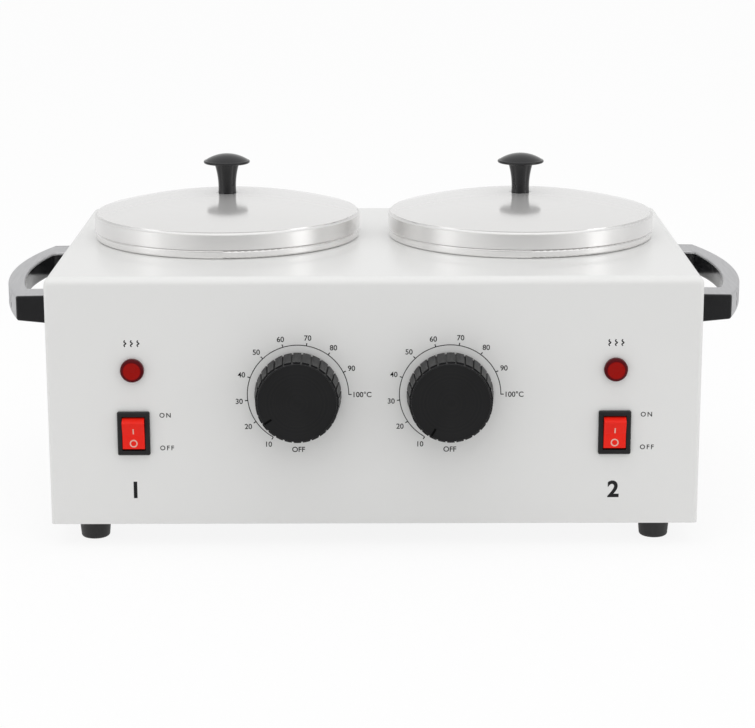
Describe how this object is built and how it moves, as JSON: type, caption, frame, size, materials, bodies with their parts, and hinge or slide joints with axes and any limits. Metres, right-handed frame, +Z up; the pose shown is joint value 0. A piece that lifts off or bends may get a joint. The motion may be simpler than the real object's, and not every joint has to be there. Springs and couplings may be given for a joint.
{
  "type": "double wax warmer",
  "caption": "Countertop wax warmer: white steel housing with lift-out aluminium pots, domed lids, thermostat dials, rocker switches, pilot lamps, side handles and feet.",
  "frame": {"origin": "middle of the outermost faces in X and Y, at the height of the soles of the feet", "axes": "+X to the right as seen by the user in front, +Y from the front panel to the back, +Z up"},
  "size_m": [0.383, 0.2284, 0.1808],
  "materials": {
    "band_steel": "satin",
    "copper_tube": "satin",
    "dial_face": "spun black",
    "dial_plastic": "satin",
    "foot_rubber": "matte",
    "gland_plastic": "matte",
    "glass_wool": "matte",
    "handle_plastic": "satin",
    "handle_trim": "satin chrome",
    "housing_paint": "gloss",
    "lamp_red": "gloss",
    "lid_aluminium": "spun satin",
    "lid_knob_plastic": "gloss",
    "plain_steel": "satin",
    "pot_aluminium": "satin",
    "rocker_red": "gloss",
    "screw_steel": "bright zinc",
    "switch_plastic": "satin",
    "terminal_brass": "satin",
    "terminal_plastic": "matte",
    "thermostat_plastic": "matte",
    "wire_blue": "matte",
    "wire_brown": "matte",
    "wire_green": "matte"
  },
  "bodies": {
    "housing": {"base_plate": "plain_steel", "base_screws": "screw_steel", "bulb_clips": "screw_steel", "cord_gland": "gland_plastic", "earth_stud": "screw_steel", "earth_wiring": "wire_green", "foot_front_left": "foot_rubber", "foot_front_right": "foot_rubber", "foot_rear_left": "foot_rubber", "foot_rear_right": "foot_rubber", "foot_screws": "screw_steel", "handle_screws": "screw_steel", "heater_clamp_screws": "screw_steel", "housing_shell": "housing_paint", "left_handle_grip": "handle_plastic", "left_handle_trim": "handle_trim", "left_heater_band": "band_steel", "left_heater_well": "pot_aluminium", "left_insulation_wrap": "glass_wool", "left_pilot_lamp_body": "switch_plastic", "left_pilot_lamp_lens": "lamp_red", "left_sensor_capillary": "copper_tube", "left_switch_frame": "switch_plastic", "left_thermostat_body": "thermostat_plastic", "live_wiring": "wire_brown", "neutral_wiring": "wire_blue", "pilot_lamp_clips": "screw_steel", "right_handle_grip": "handle_plastic", "right_handle_trim": "handle_trim", "right_heater_band": "band_steel", "right_heater_well": "pot_aluminium", "right_insulation_wrap": "glass_wool", "right_pilot_lamp_body": "switch_plastic", "right_pilot_lamp_lens": "lamp_red", "right_sensor_capillary": "copper_tube", "right_switch_frame": "switch_plastic", "right_thermostat_body": "thermostat_plastic", "switch_terminals": "terminal_brass", "terminal_block": "terminal_plastic", "terminal_block_screws": "screw_steel", "thermal_fuses": "screw_steel", "thermostat_screws": "screw_steel"},
    "left_pot": {"left_pot": "pot_aluminium"},
    "right_pot": {"right_pot": "pot_aluminium"},
    "left_lid": {"left_lid": "lid_aluminium", "left_lid_knob": "lid_knob_plastic", "left_lid_washer": "screw_steel", "left_lid_knob_screw": "screw_steel"},
    "left_dial": {"left_control_knob": "dial_plastic", "left_control_knob_face": "dial_face", "left_thermostat_shaft": "screw_steel"},
    "left_rocker": {"left_rocker": "rocker_red"},
    "right_lid": {"right_lid": "lid_aluminium", "right_lid_knob": "lid_knob_plastic", "right_lid_washer": "screw_steel", "right_lid_knob_screw": "screw_steel"},
    "right_dial": {"right_control_knob": "dial_plastic", "right_control_knob_face": "dial_face", "right_thermostat_shaft": "screw_steel"},
    "right_rocker": {"right_rocker": "rocker_red"}
  },
  "joints": [
    {"name": "left_pot_lift", "type": "slide", "parent": "housing", "child": "left_pot", "axis": [0, 0, 1], "range_m": [0, 0.1]},
    {"name": "left_lid_lift", "type": "slide", "parent": "left_pot", "child": "left_lid", "axis": [0, 0, 1], "range_m": [0, 0.06]},
    {"name": "left_dial_turn", "type": "hinge", "parent": "housing", "child": "left_dial", "pos_m": [-0.0374, -0.09675, 0.0784], "axis": [0, 1, 0], "range_deg": [-56.7, 213.3]},
    {"name": "left_rocker_tilt", "type": "hinge", "parent": "housing", "child": "left_rocker", "pos_m": [-0.11865, -0.09575, 0.059], "axis": [-1, 0, 0], "range_deg": [0, 20]},
    {"name": "right_pot_lift", "type": "slide", "parent": "housing", "child": "right_pot", "axis": [0, 0, 1], "range_m": [0, 0.1]},
    {"name": "right_lid_lift", "type": "slide", "parent": "right_pot", "child": "right_lid", "axis": [0, 0, 1], "range_m": [0, 0.06]},
    {"name": "right_dial_turn", "type": "hinge", "parent": "housing", "child": "right_dial", "pos_m": [0.0374, -0.09675, 0.0784], "axis": [0, 1, 0], "range_deg": [-30, 240]},
    {"name": "right_rocker_tilt", "type": "hinge", "parent": "housing", "child": "right_rocker", "pos_m": [0.11865, -0.09575, 0.059], "axis": [-1, 0, 0], "range_deg": [0, 20]}
  ]
}
